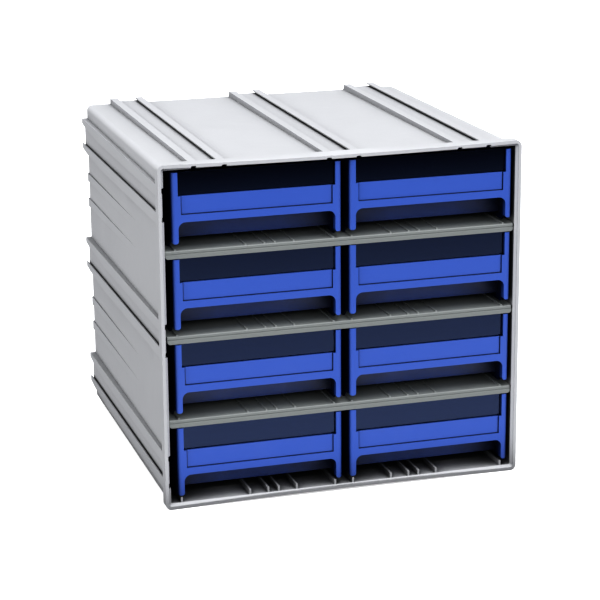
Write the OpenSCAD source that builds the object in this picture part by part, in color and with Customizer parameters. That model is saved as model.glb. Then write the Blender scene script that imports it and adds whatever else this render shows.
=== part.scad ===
// Parts bin cabinet: a moulded interlocking shell with three shelves and eight drawers.
// Millimetres, +Z up. X runs across the front, Y runs front to back, and the origin is
// under the middle of the cabinet, on the plane that it stands on.

/* [Cabinet] */
// Width over the front rim and the side rails
body_w = 298; // [270:1:340]
// Depth from the front rim to the back wall
body_d = 289; // [240:1:340]
// Height over the front rim and the rails
body_h = 279; // [260:1:310]
// Thickness of the moulded walls
wall_t = 1.9; // [1.6:0.1:2.2]
// Thickness of the back wall
back_t = 2.2; // [1.6:0.1:4]

/* [Front rim] */
// Depth of the collar round the front
rim_d = 9.5; // [6:0.5:14]
// Width of the rim's flat front face
rim_face = 2.6; // [2:0.1:3.2]
// Distance from the outside to the inner wall at the front
rim_inset = 4.7; // [4.7:0.1:5]
// Depth of the chamfer from the front face to the inner wall
rim_chamfer_d = 2.2; // [1.5:0.1:4]
// Depth of the small step before that chamfer
rim_step = 0.4; // [0.2:0.1:1]
// How far the top and the bottom of the rim draw in at the middle
rim_bow = 1.8; // [0.6:0.1:2]
// Outer corner radius of the rim
rim_r = 5; // [3:0.5:8]
// Inner corner radius of the rim's front face
mouth_r = 2.4; // [1:0.1:3.5]
// Inner corner radius of the cabinet behind the rim
inner_r = 1; // [0.8:0.1:2]

/* [Notches in the rim] */
// Width of a notch
notch_w = 4; // [3:0.1:5]
// Height that a notch on top takes off the rim's flat face
notch_up = 1.1; // [0.6:0.1:1.4]
// Corner radius of a notch
notch_r = 0.8; // [0.3:0.1:1.2]
// Depth of the notches and of the recess between them
notch_d = 8; // [4:0.5:9]
// Distance of a notch on top from the outside of its pair of rails
notch_top_in = 2.4; // [2:0.1:3.2]
// Distance of a notch at the side from the outside of its pair of rails
notch_side_in = 4.1; // [3.4:0.1:4.8]
// Distance from the outside to the recess between two notches
recess_in = 3.5; // [3.1:0.1:4.2]

/* [Walls] */
// How far the walls lie inside the rim at the front
wall_in_front = 3; // [2.6:0.1:3.2]
// How far the side walls lie inside the rim at the back
side_in_rear = 4.9; // [4:0.1:5.5]
// How far the top wall lies inside the rim at the back
top_in_rear = 4.6; // [4:0.1:5.5]
// Outer corner radius of the walls at the back
rear_r = 4.5; // [3.5:0.5:8]

/* [Interlocking rails] */
// Distance from the side to the middle of the outer pair on the top and the bottom
top_rail_edge = 40.5; // [32:0.5:60]
// Width over a pair of rails on the top and the bottom
top_pair_w = 29; // [24:0.5:34]
// Width of a rail's lip on the top and the bottom
top_lip = 6.6; // [5:0.1:8]
// Distance from the top or bottom to the middle of the outer pair on the sides
side_rail_edge = 31.5; // [30:0.5:45]
// Width over a pair of rails on the sides
side_pair_w = 31; // [26:0.5:34]
// Width of a rail's lip on the sides
side_lip = 9; // [7:0.1:10]
// How much narrower a side lip is at its rear end
side_flare = 4.8; // [0:0.1:5.5]
// Length over which a side lip widens
flare_run = 75; // [40:1:110]
// Thickness of a lip
lip_t = 1; // [0.8:0.1:1.3]
// Thickness of the web that carries a lip
web_t = 2; // [1.4:0.1:2.6]
// Depth of the raised land between two rails below their face
land_in = 2.6; // [2.2:0.1:2.8]
// Thickness of the ridge left between a web and the hollow behind a land
hollow_edge = 1.5; // [0.8:0.1:2.5]
// Distance of those hollows from the back wall
hollow_back = 2; // [1:0.5:20]

/* [Shelf channels] */
// Height of the outside of a shelf channel
channel_h = 8.6; // [7:0.1:10]
// Depth of a channel's outside below the rails' face
channel_in = 3.6; // [3.2:0.1:3.8]
// Room above and below a shelf's edge in its channel
channel_gap = 0.25; // [0.15:0.05:0.5]

/* [Rows and columns] */
// Height of the floor inside
floor_z = 4.9; // [4.9:0.1:5.2]
// Part of the height, on top, that the rows don't use
rows_below_top = 0.1; // [0:0.1:2]
// Distance from the outside to the columns
cols_in = 5.8; // [5.5:0.1:7]

/* [Guide ribs] */
// Distance of a guide rib from the edge of its column
guide_off = 7.6; // [7:0.1:9]
// Thickness of a guide rib
guide_t = 1.6; // [1:0.1:2]
// Height of the guide ribs on the cabinet's floor
guide_floor_h = 4.3; // [2:0.1:4.8]
// Height of the guide ribs on a shelf
guide_shelf_h = 1; // [0.6:0.1:2]

/* [Shelves] */
// Thickness of a shelf
shelf_t = 2.2; // [1.6:0.1:3]
// Height of a shelf's front lip
shelf_lip_h = 6.4; // [5:0.1:6.5]
// Height of the lip's thicker foot
shelf_foot_h = 3.4; // [2:0.1:4.5]
// Radius of the lip's lower corners
shelf_corner_r = 2.4; // [0.5:0.1:3]
// Thickness of a shelf's front lip
shelf_lip_t = 3.2; // [2.4:0.1:5]
// Distance of the shelves' front behind the rim
shelf_back = 3; // [2:0.5:6]
// Room between a shelf and the walls beside its front lip
shelf_side_gap = 0.4; // [0.2:0.1:1.5]
// Room between a shelf and the back wall
shelf_rear_gap = 2; // [0.5:0.5:6]

/* [Drawer front] */
// Gap between two drawer fronts side by side
front_gap = 6.5; // [5.5:0.1:9]
// Gap between a drawer's front and the shelf lip above it
lip_gap = 0.4; // [0.2:0.1:2]
// Distance of the drawers' fronts behind the rim
front_back = 2; // [1:0.5:5]
// Thickness of the front frame
front_t = 2.6; // [2.2:0.1:3.2]
// Width of a side post
post_w = 5.2; // [4.8:0.1:8]
// Depth of a side post's return
post_d = 12; // [8:0.5:16]
// Radius of a side post's outer edge
post_r = 3.2; // [2:0.1:4]
// Height of a leg's tip above the shelf
leg_z = 5.6; // [4:0.1:8]
// Height of the window
window_h = 18.5; // [14:0.1:24]
// Height of the label plate below the window
label_h = 14.8; // [10:0.1:18]
// Depth of the label plate behind the frame
label_in = 1.1; // [0.6:0.1:1.4]
// Width of the border on each side of the label plate
label_side = 2.2; // [1.4:0.1:4]
// Width of the gap that runs round the label plate
label_gap_w = 0.7; // [0.5:0.1:1]
// Depth of that gap behind the label plate
label_gap_in = 0.6; // [0.3:0.1:0.8]
// Height of the bar below the label plate
bar_h = 5.9; // [4:0.1:8]
// Depth of the bar's grip flange
grip_d = 6; // [4:0.5:9]
// Radius of the corner between bar and leg
grip_r = 5.5; // [3:0.5:8]

/* [Drawer tray] */
// Thickness of the tray's walls and floor
tray_t = 1.6; // [1.2:0.1:2]
// Distance of the side walls' top below the top of the front
tray_drop = 4.7; // [2:0.1:10]
// Height of the underside of the tray's floor above the shelf
tray_floor = 5.3; // [5:0.1:8]
// Room between a tray's skirt and the guide rib beside it
guide_gap = 1.9; // [0.8:0.1:1.9]
// Where the drawers stand in their side play, from -1 at the left to 1 at the right
drawer_stand = 1; // [-1:0.05:1]
// Room between a tray's skirt and the shelf
run_gap = 0.2; // [0.1:0.05:0.4]
// Distance of the tray's lower front wall behind the frame
pocket_d = 24; // [16:0.5:34]
// Height over which the front wall leans forward, up to the window
pocket_lean = 10.2; // [6:0.1:14]
// Room between the trays and the back wall
tray_rear_gap = 4; // [2:0.5:20]
// Length over which the side walls come down behind the posts
cheek_l = 8; // [4:0.5:20]
// Size of the bevel at the rear end of a skirt
skirt_bevel = 6; // [2:0.5:12]

/* [Windows] */
// Thickness of a window
window_t = 1.6; // [1.2:0.1:2]
// Distance of a window behind the front of its frame
window_back = 2.9; // [2.9:0.1:4]
// How far a window reaches into each post
window_grip = 1.2; // [0.6:0.1:2]
// Room round a window in its grooves
window_gap = 0.15; // [0.1:0.05:0.3]

/* [Hidden] */
rows = 4;                                 // drawers above each other
cols = 2;                                 // drawers side by side

shell_grey = "#D2D3D6";
shelf_grey = "#9DA29F";
tray_blue = "#4A63D6";
window_smoke = "#28304C";

$fn = 64;
eps = 0.01;
cut = 1;                                  // how far a cutter runs past a face

front_y = -body_d / 2;
rear_y = body_d / 2;
cavity_rear_y = rear_y - back_t;
bow_r = body_w * body_w / (8 * rim_bow);  // radius of the rim's shallow arcs
bow_fn = 1440;
bow_tilt = atan(rim_bow / rim_d);         // the bow fades out over the depth of the collar
rail_y = front_y + rim_d - 0.5;           // the rails start inside the back of the collar
flare_knee = [0.62, 0.18];                // a lip's edge bends at this share of flare and run
side_inner_rear = side_in_rear + wall_t;
top_inner_rear = top_in_rear + wall_t;
land_skin = wall_t - 0.2;                 // wall thickness behind a land
groove_skin = 1;                          // wall thickness behind a shelf channel
groove_clear = 2;                         // height kept whole above and below a shelf groove
pair_places = [-1, 0, 1];
top_pitch = body_w / 2 - top_rail_edge;
side_pitch = body_h / 2 - side_rail_edge;

// Heights above each other where a shelf can lie: quarters and thirds of the stack.
stack_h = body_h - rows_below_top - floor_z;
function level(n, k) = floor_z + stack_h * k / n;
channel_levels = [level(4, 1), level(4, 3), level(3, 1), level(3, 2)];

// Guide ribs stand in pairs at each place where two columns can meet, and at both ends.
bay_w = body_w - 2 * cols_in;
guide_middles = [0, bay_w / 6, bay_w / 4];
guide_right = concat([for (m = guide_middles, s = [-1, 1]) m + s * guide_off],
    [bay_w / 2 - guide_off]);
guide_x = concat([for (x = guide_right) if (x > 0) x], [for (x = guide_right) if (x > 0) -x]);

row_pitch = stack_h / rows;
col_pitch = bay_w / cols;
function col_x(c) = (c - (cols + 1) / 2) * col_pitch;
function row_z(r) = level(rows, rows - r);

drawer_y = front_y + front_back;
frame_back_y = drawer_y + front_t;
post_back_y = drawer_y + post_d;
pocket_y = drawer_y + pocket_d;
tray_rear_y = cavity_rear_y - tray_rear_gap;
tray_half = bay_w / (2 * cols) - guide_off + guide_t / 2 + guide_gap + tray_t;
corner_in = inner_r - sqrt(inner_r * inner_r - pow(inner_r - run_gap, 2));
wall_room = bay_w / (2 * cols) + cols_in - side_inner_rear - corner_in - tray_half;
side_play = min(guide_gap, wall_room) - run_gap;
drawer_shift = drawer_stand * side_play;
front_half = (col_pitch - front_gap) / 2;
front_top = row_pitch - shelf_lip_h - lip_gap;
tray_top = front_top - tray_drop;
window_half = front_half - post_w;        // half the width between the posts
window_z = front_top - window_h;
label_z = window_z - label_h;
bar_z = label_z - bar_h;
label_half = window_half - label_side;
pocket_z = window_z - pocket_lean;
window_y = drawer_y + window_back;
leg_round = 0.75;                         // share of a post's half width that its tip rounds
leg_over = 2;                             // how far a side wall starts above the leg's tip
post_shoulder = 2;                        // wall round the back and the foot of a window's groove
cheek_drop = 1;                           // how far a side wall stays below the front's top

// A profile drawn across the cabinet, carried from y0 to y1.
module along_y(y0, y1) {
    translate([0, y1, 0]) rotate([90, 0, 0]) linear_extrude(y1 - y0) children();
}

// A profile drawn from the side, carried from x0 to x1.
module along_x(x0, x1) {
    translate([x0, 0, 0]) rotate([90, 0, 90]) linear_extrude(x1 - x0) children();
}

module rounded_box_2d(x0, x1, z0, z1, r) {
    translate([x0 + r, z0]) square([x1 - x0 - 2 * r, z1 - z0]);
    translate([x0, z0 + r]) square([x1 - x0, z1 - z0 - 2 * r]);
    for (x = [x0 + r, x1 - r], z = [z0 + r, z1 - r]) translate([x, z]) circle(r);
}

// The outline of the cabinet, drawn in by side, top and bottom.
module outline(side, top, bottom, r) {
    rounded_box_2d(-body_w / 2 + side, body_w / 2 - side, bottom, body_h - top, r);
}

// How far the top of the rim's front edge has drawn in at x.
function bow_at(x) = rim_bow * (1 - pow(2 * x / body_w, 2));

// The rim's outline, drawn in by inset, with its top and bottom in shallow arcs.
module bowed_outline(inset, r) {
    difference() {
        outline(inset, inset, inset, r);
        translate([0, body_h - inset - rim_bow + bow_r]) circle(bow_r, $fn = bow_fn);
        translate([0, inset + rim_bow - bow_r]) circle(bow_r, $fn = bow_fn);
    }
}

// ---------------------------------------------------------------- interlocking rails

// One edge of a lip, from the front to the back, stepping in by flare at the rear end.
function flared_edge(x, flare) = [[x, rail_y], [x, rear_y - flare_run],
    [x + flare_knee[0] * flare, rear_y - flare_knee[1] * flare_run], [x + flare, rear_y]];

function straight_edge(x) = [[x, rear_y], [x, rail_y]];

module strip(x0, x1, flare, z0, z1) {
    translate([0, 0, z0]) linear_extrude(z1 - z0)
        polygon(concat(flared_edge(x0, flare), straight_edge(x1)));
}

// A web that follows the flared edge.
module flared_web(x0, flare, z0, z1) {
    outer = flared_edge(x0, flare);
    inner = [for (i = [len(outer) - 1:-1:0]) outer[i] + [web_t, 0]];
    translate([0, 0, z0]) linear_extrude(z1 - z0) polygon(concat(outer, inner));
}

// A pair of rails along Y with its face at z = 0: two webs with lips that point at each
// other over a raised land. A web reaches root below the face, into the wall.
module rail_pair(pair_w, lip, flare, root) {
    half = pair_w / 2;
    strip(-half, half, flare, -root, -land_in);
    strip(-half, -half + lip, flare, -lip_t, 0);
    flared_web(-half, flare, -root, 0);
    strip(half - lip, half, flare, -lip_t, 0);
    strip(half - web_t, half, 0, -root, 0);
}

module top_rails() {
    for (i = pair_places) translate([i * top_pitch, 0, body_h])
        rail_pair(top_pair_w, top_lip, 0, top_inner_rear);
}

module bottom_rails() {
    for (i = pair_places) translate([i * top_pitch, 0, 0]) mirror([0, 0, 1])
        rail_pair(top_pair_w, top_lip, 0, floor_z - eps);
}

module left_rails() {
    for (i = pair_places) translate([-body_w / 2, 0, body_h / 2 + i * side_pitch])
        rotate([0, -90, 0]) rail_pair(side_pair_w, side_lip, side_flare, side_inner_rear);
}

// ---------------------------------------------------------------- cabinet shell

// A shelf channel seen from outside: square on top, sloping below.
module left_channels() {
    half = channel_h / 2;
    slope = side_in_rear - channel_in;
    for (z = channel_levels) translate([0, 0, z - shelf_t / 2]) along_y(front_y + rim_d, rear_y)
        polygon([[-body_w / 2 + side_inner_rear, half], [-body_w / 2 + channel_in, half],
            [-body_w / 2 + channel_in, slope - half], [-body_w / 2 + side_inner_rear, -half]]);
}

module left_and_right() {
    children();
    mirror([1, 0, 0]) children();
}

// The groove that holds a shelf's edge, open to the inside.
module shelf_grooves() {
    gap = channel_gap;
    front_in = wall_in_front + groove_skin;
    rear_in = channel_in + groove_skin;
    for (k = [1:rows - 1]) {
        z = level(rows, k) - shelf_t - gap;
        translate([0, 0, z]) linear_extrude(shelf_t + 2 * gap)
            polygon([[-body_w / 2 + front_in, front_y + rim_chamfer_d],
                [-body_w / 2 + rear_in, cavity_rear_y - 1], [0, cavity_rear_y - 1],
                [0, front_y + rim_chamfer_d]]);
    }
}

// The hollows behind the lands of one side, which keep the skin even. The middle one
// leaves the groove of the middle shelf whole.
module side_hollows(y) {
    inner = land_in + land_skin;
    half = side_pair_w / 2 - web_t - hollow_edge;
    for (i = pair_places) difference() {
        along_y(y, cavity_rear_y - hollow_back)
            translate([-body_w / 2 + inner, body_h / 2 + i * side_pitch - half])
                square([side_inner_rear - inner + cut, 2 * half - side_flare]);
        if (i == 0) translate([-body_w / 2, front_y - cut, level(4, 2) - shelf_t - groove_clear])
            cube([side_inner_rear + 2 * cut, body_d, shelf_t + 2 * groove_clear]);
    }
}

module top_hollows() {
    inner = land_in + land_skin;
    half = top_pair_w / 2 - web_t - hollow_edge;
    for (i = pair_places) along_y(front_y + rim_step, cavity_rear_y - hollow_back)
        translate([i * top_pitch - half, body_h - top_inner_rear - cut])
            square([2 * half, top_inner_rear - inner + cut]);
}

// Two notches beside each pair of rails, dark spots in the rim, and the recess between them.
module top_notches() {
    half = top_pair_w / 2 - notch_top_in;
    foot = body_h - rim_inset - rim_bow - cut;
    for (i = pair_places) along_y(front_y - cut, front_y + notch_d) {
        for (x = [i * top_pitch - half, i * top_pitch + half])
            rounded_box_2d(x - notch_w / 2, x + notch_w / 2, foot,
                body_h - bow_at(x) - rim_face + notch_up, notch_r);
        translate([i * top_pitch - half, foot])
            square([2 * half, body_h - bow_at(i * top_pitch) - recess_in - foot]);
    }
}

module left_notches() {
    half = side_pair_w / 2 - notch_side_in;
    x = -body_w / 2 + rim_inset + cut;
    for (i = pair_places) along_y(front_y - cut, front_y + notch_d) {
        middle = body_h / 2 + i * side_pitch;
        for (z = [middle - half, middle + half])
            rounded_box_2d(-body_w / 2 + rim_face, x, z - notch_w / 2, z + notch_w / 2, notch_r);
        translate([-body_w / 2 + recess_in, middle - half])
            square([rim_inset + cut - recess_in, 2 * half]);
    }
}

module outer_walls() {
    hull() {
        along_y(front_y + rim_step, front_y + rim_d)
            outline(wall_in_front, wall_in_front, wall_in_front, rim_r);
        along_y(rear_y - eps, rear_y)
            outline(side_in_rear, top_in_rear, wall_in_front, rear_r);
    }
}

module cavity() {
    hull() {
        along_y(front_y + rim_chamfer_d, front_y + rim_chamfer_d + eps)
            outline(rim_inset, rim_inset, floor_z, inner_r);
        along_y(cavity_rear_y - eps, cavity_rear_y)
            outline(side_inner_rear, top_inner_rear, floor_z, inner_r);
    }
}

// A wide, tilted cylinder that draws the collar in at the middle of its front edge.
module bow_cutter() {
    translate([0, front_y, -rim_bow]) rotate([bow_tilt, 0, 0]) translate([0, -cut, bow_r])
        rotate([-90, 0, 0]) cylinder(r = bow_r, h = rim_d + 2 * cut, $fn = bow_fn);
}

module collar() {
    difference() {
        along_y(front_y, front_y + rim_d) outline(0, 0, 0, rim_r);
        translate([0, 0, body_h]) bow_cutter();
        mirror([0, 0, 1]) bow_cutter();
    }
}

// The mouth: a straight step, then a chamfer down to the inner walls.
module mouth() {
    intersection() {
        hull() {
            along_y(front_y - cut, front_y + rim_step)
                outline(rim_face, rim_face, rim_face, mouth_r);
            along_y(front_y + rim_chamfer_d, front_y + rim_chamfer_d + eps)
                outline(rim_inset, rim_inset, floor_z, inner_r);
        }
        along_y(front_y - cut, front_y + rim_d) bowed_outline(rim_face, mouth_r);
    }
}

module floor_guides() {
    for (x = guide_x) translate([x - guide_t / 2, front_y + rim_chamfer_d, floor_z - eps])
        cube([guide_t, cavity_rear_y - front_y - rim_chamfer_d + eps, guide_floor_h + eps]);
}

module cabinet_shell() {
    color(shell_grey) {
        difference() {
            union() {
                outer_walls();
                collar();
                top_rails();
                bottom_rails();
                left_and_right() {
                    left_rails();
                    left_channels();
                }
            }
            mouth();
            cavity();
            left_and_right() shelf_grooves();
            side_hollows(front_y + rim_step);
            mirror([1, 0, 0]) side_hollows(front_y + rim_d);
            top_hollows();
            top_notches();
            left_notches();
        }
        floor_guides();
    }
}

// ---------------------------------------------------------------- shelves

shelf_y = front_y + shelf_back;
shelf_rear_y = cavity_rear_y - shelf_rear_gap;
shelf_edge_front = wall_in_front + groove_skin + channel_gap;
shelf_edge_rear = channel_in + groove_skin + channel_gap;
shelf_lip_half = body_w / 2 - rim_inset - shelf_side_gap;

// The plan of the plate. Its edges follow the channels.
module shelf_plan() {
    notch_y = shelf_y + shelf_lip_t;
    front_half_w = body_w / 2 - shelf_edge_front;
    rear_half_w = body_w / 2 - shelf_edge_rear;
    polygon([[-shelf_lip_half, shelf_y], [shelf_lip_half, shelf_y], [shelf_lip_half, notch_y],
        [front_half_w, notch_y], [rear_half_w, shelf_rear_y], [-rear_half_w, shelf_rear_y],
        [-front_half_w, notch_y], [-shelf_lip_half, notch_y]]);
}

// The front lip from the side: a rounded top edge, a shallow line and a thicker foot.
module shelf_lip_profile() {
    foot = shelf_foot_h;
    line_h = 0.5;
    step = 0.5;
    r = 0.9;
    difference() {
        union() {
            translate([shelf_y, -shelf_lip_h]) square([shelf_lip_t, foot]);
            translate([shelf_y + step, -shelf_lip_h]) square([shelf_lip_t - step, shelf_lip_h - r]);
            translate([shelf_y + step + r, -r]) square([shelf_lip_t - step - r, r]);
            translate([shelf_y + step + r, -r]) circle(r, $fn = 32);
        }
        translate([shelf_y - cut, foot - shelf_lip_h]) square([step + 0.4 + cut, line_h]);
    }
}

// The lip from the front, with its lower corners rounded.
module shelf_lip_front() {
    r = shelf_corner_r;
    translate([-shelf_lip_half, r - shelf_lip_h]) square([2 * shelf_lip_half, shelf_lip_h - r + cut]);
    translate([r - shelf_lip_half, -shelf_lip_h]) square([2 * (shelf_lip_half - r), r + eps]);
    for (s = [-1, 1]) translate([s * (shelf_lip_half - r), r - shelf_lip_h]) circle(r);
}

module shelf(k) {
    color(shelf_grey) translate([0, 0, level(rows, k)]) {
        difference() {
            translate([0, 0, -shelf_t]) linear_extrude(shelf_t) shelf_plan();
            translate([-body_w / 2, shelf_y - cut, -shelf_t - cut])
                cube([body_w, shelf_lip_t - 1 + cut, shelf_t + 2 * cut]);
        }
        intersection() {
            along_x(-shelf_lip_half, shelf_lip_half) shelf_lip_profile();
            along_y(shelf_y - cut, shelf_y + shelf_lip_t + cut) shelf_lip_front();
        }
        for (x = guide_x) translate([x - guide_t / 2, shelf_y + shelf_lip_t / 2, -eps])
            cube([guide_t, shelf_rear_y - shelf_y - shelf_lip_t / 2, guide_shelf_h + eps]);
    }
}

// ---------------------------------------------------------------- drawers

// Half of the front frame seen from the front, from the middle to the right-hand side:
// a post that runs on down as a leg, and the panel that carries the label plate.
module half_front() {
    leg_r = leg_round * post_w / 2;
    translate([window_half, leg_z + leg_r]) square([post_w, front_top - leg_z - leg_r]);
    translate([window_half + leg_r, leg_z]) square([post_w - 2 * leg_r, leg_r + eps]);
    for (x = [window_half + leg_r, front_half - leg_r]) translate([x, leg_z + leg_r]) circle(leg_r);
    translate([0, bar_z]) square([window_half + eps, window_z - bar_z]);
    difference() {
        translate([window_half - grip_r, bar_z - grip_r]) square([grip_r + eps, grip_r + eps]);
        translate([window_half - grip_r, bar_z - grip_r]) circle(grip_r);
    }
}

// The front frame's outline from above: flat, with a rounded return down each post.
module front_plan() {
    for (s = [0, 1]) mirror([s, 0]) {
        translate([-eps, drawer_y]) square([front_half - post_r + eps, front_t]);
        translate([front_half - post_r, drawer_y + post_r]) circle(post_r);
        translate([front_half - front_t, drawer_y + post_r]) square([front_t, post_d - post_r]);
    }
}

module front_frame() {
    intersection() {
        along_y(drawer_y - cut, post_back_y + cut) for (s = [0, 1]) mirror([s, 0]) half_front();
        linear_extrude(front_top) difference() {
            front_plan();
            // the round corner is hollow behind the face
            translate([-window_half, frame_back_y]) square([2 * window_half, post_d]);
        }
    }
}

// The grip flange behind the lower edge of the bar.
module grip() {
    translate([-window_half + grip_r, drawer_y, bar_z])
        cube([2 * (window_half - grip_r), grip_d, tray_t]);
}

// The tray's front wall from the side: upright at the back of the finger pocket, then
// leaning forward to meet the panel under the window.
module front_wall_profile() {
    z = window_z - tray_t;
    polygon([[pocket_y, tray_floor], [pocket_y, pocket_z], [frame_back_y - eps, z],
        [frame_back_y - eps, window_z], [frame_back_y + tray_t, window_z],
        [pocket_y + tray_t, pocket_z + tray_t / 2], [pocket_y + tray_t, tray_floor]]);
}

// A side wall from the side. Its lower edge is the skirt that runs on the shelf.
module side_wall_profile() {
    skirt_y = post_back_y + leg_z;
    cheek_top = front_top - cheek_drop;
    polygon([[frame_back_y - eps, leg_z + leg_over], [post_back_y, leg_z], [skirt_y, run_gap],
        [tray_rear_y - skirt_bevel, run_gap], [tray_rear_y, run_gap + skirt_bevel],
        [tray_rear_y, tray_top], [post_back_y + cheek_l, tray_top], [post_back_y, cheek_top],
        [frame_back_y - eps, cheek_top]]);
}

module tray_body() {
    inner_half = tray_half - tray_t;
    for (s = [0, 1]) mirror([s, 0, 0]) along_x(inner_half, tray_half) side_wall_profile();
    along_x(-inner_half - eps, inner_half + eps) front_wall_profile();
    translate([-inner_half - eps, pocket_y, tray_floor])
        cube([2 * (inner_half + eps), tray_rear_y - pocket_y, tray_t]);
    translate([-inner_half - eps, tray_rear_y - tray_t, tray_floor])
        cube([2 * (inner_half + eps), tray_t, tray_top - tray_floor]);
}

// The posts' inner sides, which close the round corners and carry the window's grooves.
module window_posts() {
    shoulder = window_back + window_t - front_t + post_shoulder;
    for (s = [0, 1]) mirror([s, 0, 0])
        translate([window_half, frame_back_y - eps, window_z - post_shoulder])
            cube([tray_half - window_half, shoulder, window_h + post_shoulder]);
}

module window_slot() {
    gap = window_gap;
    translate([-window_half - window_grip - gap, window_y - gap, window_z])
        cube([2 * (window_half + window_grip + gap), window_t + 2 * gap, front_top]);
}

// The label plate lies back from the frame, and a deeper gap runs round three of its sides.
module label_recess() {
    depth = label_in + label_gap_in;
    translate([-label_half, drawer_y - cut, label_z])
        cube([2 * label_half, cut + label_in, label_h + cut]);
    translate([-label_half, drawer_y, label_z]) cube([2 * label_half, depth, label_gap_w]);
    for (x = [-label_half, label_half - label_gap_w]) translate([x, drawer_y, label_z])
        cube([label_gap_w, depth, label_h + cut]);
}

module tray(r, c) {
    color(tray_blue) translate([col_x(c) + drawer_shift, 0, row_z(r)]) difference() {
        union() {
            front_frame();
            grip();
            tray_body();
            window_posts();
        }
        label_recess();
        window_slot();
    }
}

module window(r, c) {
    half = window_half + window_grip;
    color(window_smoke)
        translate([col_x(c) + drawer_shift - half, window_y, row_z(r) + window_z + window_gap])
            cube([2 * half, window_t, window_h - window_gap]);
}

cabinet_shell();
shelf(3);  // shelf_1
shelf(2);  // shelf_2
shelf(1);  // shelf_3
tray(1, 1);  // tray_r1c1
tray(1, 2);  // tray_r1c2
tray(2, 1);  // tray_r2c1
tray(2, 2);  // tray_r2c2
tray(3, 1);  // tray_r3c1
tray(3, 2);  // tray_r3c2
tray(4, 1);  // tray_r4c1
tray(4, 2);  // tray_r4c2
window(1, 1);  // window_r1c1
window(1, 2);  // window_r1c2
window(2, 1);  // window_r2c1
window(2, 2);  // window_r2c2
window(3, 1);  // window_r3c1
window(3, 2);  // window_r3c2
window(4, 1);  // window_r4c1
window(4, 2);  // window_r4c2
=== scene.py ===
# A small-parts cabinet moulded in plastic: a light grey shell with three darker shelves
# and eight blue drawers with smoke-tinted windows, on a pale studio floor.
import math

import bmesh
import bpy
from mathutils import Matrix, Vector


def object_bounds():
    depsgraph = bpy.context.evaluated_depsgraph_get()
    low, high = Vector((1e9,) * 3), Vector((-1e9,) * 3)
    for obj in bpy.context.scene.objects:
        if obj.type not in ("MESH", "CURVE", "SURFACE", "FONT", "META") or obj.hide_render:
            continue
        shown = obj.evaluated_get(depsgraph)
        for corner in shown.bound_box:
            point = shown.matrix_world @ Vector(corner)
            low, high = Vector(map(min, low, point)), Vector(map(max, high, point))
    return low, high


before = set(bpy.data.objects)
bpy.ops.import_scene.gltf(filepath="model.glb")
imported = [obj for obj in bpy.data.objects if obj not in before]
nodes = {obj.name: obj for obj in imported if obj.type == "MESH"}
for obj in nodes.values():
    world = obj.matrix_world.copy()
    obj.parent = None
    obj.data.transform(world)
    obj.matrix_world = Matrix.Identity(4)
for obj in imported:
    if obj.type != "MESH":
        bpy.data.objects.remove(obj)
cad_low, cad_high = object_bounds()
MM = 0.001

# ------------------------------------------------------------------ cabinet shell
# One large injection moulding, taken to be light grey high-impact polystyrene. A spark
# eroded tool gives it a fine matt grain, and its edges leave the tool with a small radius.

SHELL_GREY = "#C0C1C4"
SHELL_GRAIN = 0.9 * MM         # about 0.1 mm on such a moulding, drawn coarser to show
SHELL_EDGE = 0.30 * MM
POLYSTYRENE_IOR = 1.59
FLOW_ACROSS = 71.43 * MM       # long soft clouds of tone where the melt ran from the gate
FLOW_ALONG = 200 * MM
CORNER_REACH = 40 * MM         # how near a wall has to be to shade an inner corner
OPEN_FROM = 0.88               # the share of open sky above which the colour isn't shaded
DARKEST = 0.06                 # the share of its colour that the deepest recess keeps
PIT_DEPTH = 0.05 * MM
RUB_SIZE = 22.22 * MM          # handling leaves the gloss a little uneven
RUB_CHANGE = 0.05
JOIN_REACH = 0.002 * MM        # corners of a CAD mesh closer than this are one
FLAT_WITHIN = math.radians(0.05)
SHARP_FROM = math.radians(32)


def linear(colour):
    """An sRGB hex colour as linear RGBA."""
    values = [int(colour[i:i + 2], 16) / 255 for i in (1, 3, 5)]
    return [v / 12.92 if v <= 0.04045 else ((v + 0.055) / 1.055) ** 2.4 for v in values] + [1.0]


def add(tree, kind, settings=None, **links):
    """Adds a node. A link's name is the input's, with _ for a space, and its value an output."""
    made = tree.nodes.new(kind)
    for name, value in (settings or {}).items():
        if hasattr(made, name):
            setattr(made, name, value)
        else:
            made.inputs[name].default_value = value
    for name, output in links.items():
        tree.links.new(output, made.inputs[name.replace("_", " ")])
    return made


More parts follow.
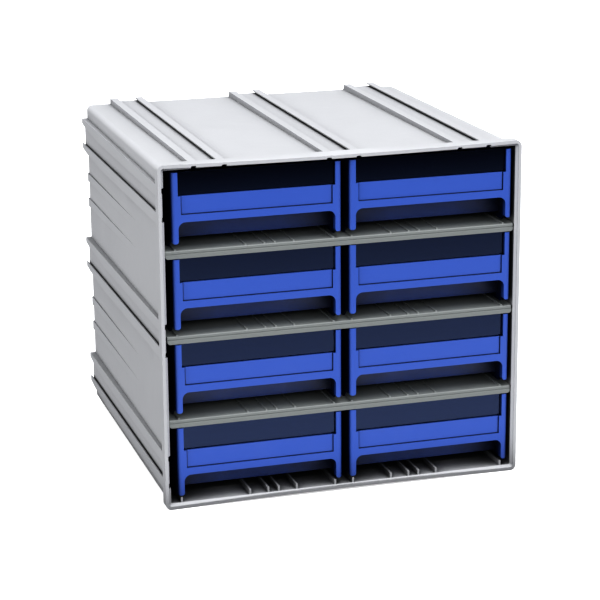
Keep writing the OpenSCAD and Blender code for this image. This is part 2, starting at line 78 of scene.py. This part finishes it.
def moulded_plastic(name, colour, roughness, ior, grain, tone, darkest_at):
    """A solid-coloured moulded plastic with grain, faint flow marks and painted shade in inner
    corners.
    """
    material = bpy.data.materials.new(name)
    material.use_nodes = True
    tree = material.node_tree
    shader = tree.nodes["Principled BSDF"]
    shader.inputs["IOR"].default_value = ior
    place = add(tree, "ShaderNodeTexCoord").outputs["Object"]
    # the flow marks
    flow_scale = (1 / FLOW_ACROSS, 1 / FLOW_ALONG, 1 / FLOW_ACROSS)
    flow_place = add(tree, "ShaderNodeMapping", {"Scale": flow_scale}, Vector=place)
    flow = add(tree, "ShaderNodeTexNoise", {"Scale": 1.0, "Detail": 3.0, "Roughness": 0.55},
               Vector=flow_place.outputs["Vector"])
    light, dark = linear(colour), linear(colour)
    for i in range(3):
        light[i] *= 1 + tone
        dark[i] *= 1 - tone
    mix = add(tree, "ShaderNodeMix", {"data_type": "RGBA"})
    tree.links.new(flow.outputs["Fac"], mix.inputs[0])
    mix.inputs[6].default_value = dark
    mix.inputs[7].default_value = light
    # A shading aid and not dirt: inner corners and recesses are darkened to match the
    # photograph's strong contrast. The real plastic has one colour all over.
    corner = add(tree, "ShaderNodeAmbientOcclusion", {"samples": 6, "Distance": CORNER_REACH})
    shade = add(tree, "ShaderNodeMapRange", {"From Min": darkest_at, "From Max": OPEN_FROM,
                "To Min": DARKEST}, Value=corner.outputs["AO"])
    shaded = add(tree, "ShaderNodeVectorMath", {"operation": "SCALE"}, Vector=mix.outputs[2],
                 Scale=shade.outputs["Result"])
    tree.links.new(shaded.outputs["Vector"], shader.inputs["Base Color"])
    # the tool's grain
    pits = add(tree, "ShaderNodeTexNoise", {"Scale": 1 / grain, "Detail": 2.0, "Roughness": 0.6},
               Vector=place)
    bump = add(tree, "ShaderNodeBump", {"Strength": 0.12, "Distance": PIT_DEPTH},
               Height=pits.outputs["Fac"])
    tree.links.new(bump.outputs["Normal"], shader.inputs["Normal"])
    rub = add(tree, "ShaderNodeTexNoise", {"Scale": 1 / RUB_SIZE, "Detail": 4.0, "Roughness": 0.7},
              Vector=place)
    gloss = add(tree, "ShaderNodeMapRange", {"From Min": 0.3, "From Max": 0.7,
                "To Min": roughness - RUB_CHANGE, "To Max": roughness + RUB_CHANGE},
                Value=rub.outputs["Fac"])
    tree.links.new(gloss.outputs["Result"], shader.inputs["Roughness"])
    return material


def soften(piece, radius):
    """Rounds a CAD piece's sharp edges as a mould does, after joining its loose triangles."""
    weld = piece.modifiers.new("join", "WELD")
    weld.merge_threshold = JOIN_REACH
    flat = piece.modifiers.new("flat faces", "DECIMATE")
    flat.decimate_type = "DISSOLVE"
    flat.angle_limit = FLAT_WITHIN
    edge = piece.modifiers.new("edge radius", "BEVEL")
    edge.width = radius
    edge.segments = 2
    edge.limit_method = "ANGLE"
    edge.angle_limit = SHARP_FROM
    shading = piece.modifiers.new("flat sides, round edges", "WEIGHTED_NORMAL")
    shading.weight = 100
    shading.keep_sharp = False


def dress(piece, material):
    piece.data.materials.clear()
    piece.data.materials.append(material)


shell_plastic = moulded_plastic("satin light grey polystyrene", SHELL_GREY, roughness=0.48,
                                ior=POLYSTYRENE_IOR, grain=SHELL_GRAIN, tone=0.012,
                                darkest_at=0.28)
shell = nodes["cabinet_shell"]
dress(shell, shell_plastic)
soften(shell, SHELL_EDGE)

# ------------------------------------------------------------------ shelves
# Plates taken to be mid grey polystyrene, slid into the shell's channels. They have the
# shell's grain and are a little duller, because the drawers rub their tops.

SHELF_GREY = "#838786"
SHELF_EDGE = 0.30 * MM
SHELF_DARKEST_AT = -1.50       # never reached, so that a shelf gets only part of the shading

shelf_plastic = moulded_plastic("satin mid grey polystyrene", SHELF_GREY, roughness=0.50,
                                ior=POLYSTYRENE_IOR, grain=SHELL_GRAIN, tone=0.015,
                                darkest_at=SHELF_DARKEST_AT)
for n in (1, 2, 3):
    shelf = nodes[f"shelf_{n}"]
    dress(shelf, shelf_plastic)
    soften(shelf, SHELF_EDGE)

# ------------------------------------------------------------------ drawers
# Trays taken to be blue polypropylene, smoother and waxier than the shell, with the front
# frame, label plate and finger bar moulded in one with the tray.

DRAWER_BLUE = "#4062BC"
DRAWER_GRAIN = 0.8 * MM        # drawn coarser than it is, as the shell's
DRAWER_EDGE = 0.30 * MM
POLYPROPYLENE_IOR = 1.49

drawer_plastic = moulded_plastic("waxy blue polypropylene", DRAWER_BLUE, roughness=0.40,
                                 ior=POLYPROPYLENE_IOR, grain=DRAWER_GRAIN, tone=0.02,
                                 darkest_at=0.38)
places = [f"r{row}c{column}" for row in (1, 2, 3, 4) for column in (1, 2)]
for place in places:
    tray = nodes[f"tray_{place}"]
    dress(tray, drawer_plastic)
    soften(tray, DRAWER_EDGE)

# ------------------------------------------------------------------ windows
# Flat plates taken to be clear polystyrene with a smoke tint, polished in the tool, so they
# mirror the studio faintly and show little of the dark inside of the drawer.

WINDOW_SMOKE = "#2A3252"
WINDOW_SHEEN = "#A5BEFF"       # a real plate mirrors without a tint: this matches the picture
WINDOW_EDGE = 0.15 * MM
HAZE_SIZE = 16.67 * MM

smoke_plastic = bpy.data.materials.new("smoke clear polystyrene")
smoke_plastic.use_nodes = True
smoke = smoke_plastic.node_tree
smoke_shader = smoke.nodes["Principled BSDF"]
smoke_shader.inputs["Base Color"].default_value = linear(WINDOW_SMOKE)
smoke_shader.inputs["IOR"].default_value = POLYSTYRENE_IOR
smoke_shader.inputs["Transmission Weight"].default_value = 1.0
smoke_shader.inputs["Specular Tint"].default_value = linear(WINDOW_SHEEN)
haze_place = add(smoke, "ShaderNodeTexCoord").outputs["Object"]
haze = add(smoke, "ShaderNodeTexNoise", {"Scale": 1 / HAZE_SIZE, "Detail": 3.0},
           Vector=haze_place)
haze_range = add(smoke, "ShaderNodeMapRange", {"To Min": 0.03, "To Max": 0.09},
                 Value=haze.outputs["Fac"])
smoke.links.new(haze_range.outputs["Result"], smoke_shader.inputs["Roughness"])
for place in places:
    window = nodes[f"window_{place}"]
    dress(window, smoke_plastic)
    soften(window, WINDOW_EDGE)

# ------------------------------------------------------------------ studio
# A pale table before a white backdrop, three soft lights, more light from the front, and a
# camera fitted to the cabinet's edges without a shift. Table and room glow differently for
# the camera, for mirrored rays and for diffuse rays: a choice for the picture, not physics.

FLOOR_WHITE = "#F4F4F4"
FLOOR_GLOW = 0.35              # milky acrylic lit from below, as the camera sees it
FLOOR_GLOW_FAR = 1.0           # more so where it runs up to the backdrop
FLOOR_NEAR, FLOOR_FAR = 0.5, 2.2
STRIP_GLOW = 1.9               # a strip in front that glows, no lamp, seen only in mirrored rays
STRIP_BACK, STRIP_FRONT = -0.12, -0.28
FLOOR_SPILL = "#282828"        # the table's colour for all but the camera, so it lights little
FLOOR_FRONT = -1.45            # the table's front edge, where it has faded out
FLOOR_FADE = -0.19             # where that fade starts
FLOOR_BACK = 9.0
FLOOR_HALF = 6.0

bm = bmesh.new()
for x, y in ((-FLOOR_HALF, FLOOR_FRONT), (FLOOR_HALF, FLOOR_FRONT),
             (FLOOR_HALF, FLOOR_BACK), (-FLOOR_HALF, FLOOR_BACK)):
    bm.verts.new((x, y, cad_low.z))
bm.faces.new(bm.verts)
floor_mesh = bpy.data.meshes.new("studio_floor")
bm.to_mesh(floor_mesh)
bm.free()
floor = bpy.data.objects.new("studio_floor", floor_mesh)
bpy.context.scene.collection.objects.link(floor)
floor_acrylic = bpy.data.materials.new("milky acrylic table")
floor_acrylic.use_nodes = True
floor_acrylic.cycles.emission_sampling = "NONE"
table = floor_acrylic.node_tree
table_shader = table.nodes["Principled BSDF"]
table_shader.inputs["Roughness"].default_value = 0.9
table_shader.inputs["Specular IOR Level"].default_value = 0.1
table_shader.inputs["Emission Color"].default_value = (1, 1, 1, 1)
path = add(table, "ShaderNodeLightPath")
table_tone = add(table, "ShaderNodeMix", {"data_type": "RGBA"})
table_tone.inputs[6].default_value = linear(FLOOR_SPILL)
table_tone.inputs[7].default_value = linear(FLOOR_WHITE)
table.links.new(path.outputs["Is Camera Ray"], table_tone.inputs[0])
table.links.new(table_tone.outputs[2], table_shader.inputs["Base Color"])
table_place = add(table, "ShaderNodeTexCoord").outputs["Object"]
depth = add(table, "ShaderNodeSeparateXYZ", Vector=table_place).outputs["Y"]
away = add(table, "ShaderNodeVectorMath", {"operation": "LENGTH"}, Vector=table_place)
far_glow = add(table, "ShaderNodeMapRange", {"From Min": FLOOR_NEAR, "From Max": FLOOR_FAR,
               "To Min": FLOOR_GLOW, "To Max": FLOOR_GLOW_FAR, "interpolation_type": "SMOOTHSTEP"},
               Value=away.outputs["Value"])
strip = add(table, "ShaderNodeMapRange", {"From Min": STRIP_BACK, "From Max": STRIP_FRONT,
            "To Max": STRIP_GLOW}, Value=depth)
mirrored = add(table, "ShaderNodeMapRange", {"To Max": 0.0}, Value=path.outputs["Is Diffuse Ray"],
               To_Min=strip.outputs["Result"])
glow = add(table, "ShaderNodeMapRange", Value=path.outputs["Is Camera Ray"],
           To_Min=mirrored.outputs["Result"], To_Max=far_glow.outputs["Result"])
table.links.new(glow.outputs["Result"], table_shader.inputs["Emission Strength"])
fade = add(table, "ShaderNodeMapRange", {"From Min": FLOOR_FRONT, "From Max": FLOOR_FADE},
           Value=depth)
table.links.new(fade.outputs["Result"], table_shader.inputs["Alpha"])
floor_mesh.materials.append(floor_acrylic)

ROOM_TINT = (0.97, 0.98, 1, 1)  # linear, a touch cool
ROOM_ABOVE = 0.10              # light that comes back from the studio's walls
ROOM_BELOW = 0.02
ROOM_FRONT = 1.60              # more of it from a white wall before the cabinet
HORIZON_LOW, HORIZON_HIGH = -0.05, 0.1
world = bpy.data.worlds.new("studio")
bpy.context.scene.world = world
world.use_nodes = True
air = world.node_tree
air.nodes.clear()
around = add(air, "ShaderNodeTexCoord").outputs["Generated"]
heading = add(air, "ShaderNodeSeparateXYZ", Vector=around)
height = add(air, "ShaderNodeMapRange", {"From Min": HORIZON_LOW, "From Max": HORIZON_HIGH},
             Value=heading.outputs["Z"])
front = add(air, "ShaderNodeMapRange", {"From Min": 0.0, "From Max": -1.0, "To Min": ROOM_ABOVE,
            "To Max": ROOM_ABOVE + ROOM_FRONT}, Value=heading.outputs["Y"])
room = add(air, "ShaderNodeMapRange", {"To Min": ROOM_BELOW}, Value=height.outputs["Result"],
           To_Max=front.outputs["Result"])
ambient = add(air, "ShaderNodeBackground", {"Color": ROOM_TINT}, Strength=room.outputs["Result"])
backdrop = add(air, "ShaderNodeBackground", {"Color": (1, 1, 1, 1), "Strength": 1.0})
seen = add(air, "ShaderNodeLightPath")
air_mix = add(air, "ShaderNodeMixShader")
air.links.new(seen.outputs["Is Camera Ray"], air_mix.inputs[0])
air.links.new(ambient.outputs[0], air_mix.inputs[1])
air.links.new(backdrop.outputs[0], air_mix.inputs[2])
air_out = add(air, "ShaderNodeOutputWorld")
air.links.new(air_mix.outputs[0], air_out.inputs[0])


def softbox(name, size, watts, place, target):
    light = bpy.data.lights.new(name, "AREA")
    light.shape = "SQUARE"
    light.size = size
    light.energy = watts
    lamp = bpy.data.objects.new(name, light)
    lamp.location = place
    lamp.rotation_mode = "QUATERNION"
    lamp.rotation_quaternion = (Vector(target) - Vector(place)).to_track_quat("-Z", "Y")
    bpy.context.scene.collection.objects.link(lamp)
    return lamp


softbox("overhead", size=1.6, watts=29, place=(0.4, -0.75, 2.2), target=(0, 0, 0.15))
softbox("high left", size=1.0, watts=24, place=(-1.9, -0.2, 1.1), target=(0, 0, 0.12))
back_fill = softbox("back right", size=1.4, watts=42, place=(1.5, 1.7, 0.5), target=(0, 0, 0.14))
back_fill.visible_glossy = False   # its mirror image would burn out the top

PICTURE = 600                  # pixels across the photograph
FOCAL = 2137.2                 # focal length in those pixels
SENSOR = 36.0
CAMERA_PLACE = (-0.5079, -1.6909, 0.6193)
YAW, PITCH, ROLL = (math.radians(a) for a in (16.939, -15.749, -0.478))
camera_data = bpy.data.cameras.new("camera")
camera_data.sensor_width = SENSOR
camera_data.lens = FOCAL / PICTURE * SENSOR
camera = bpy.data.objects.new("camera", camera_data)
camera.matrix_world = (Matrix.Translation(CAMERA_PLACE)
                       @ Matrix.Rotation(-YAW, 4, "Z")
                       @ Matrix.Rotation(math.pi / 2 + PITCH, 4, "X")
                       @ Matrix.Rotation(ROLL, 4, "Z"))
bpy.context.scene.collection.objects.link(camera)
bpy.context.scene.camera = camera
bpy.context.scene.view_settings.view_transform = "Standard"
bpy.context.scene.view_settings.look = "High Contrast"
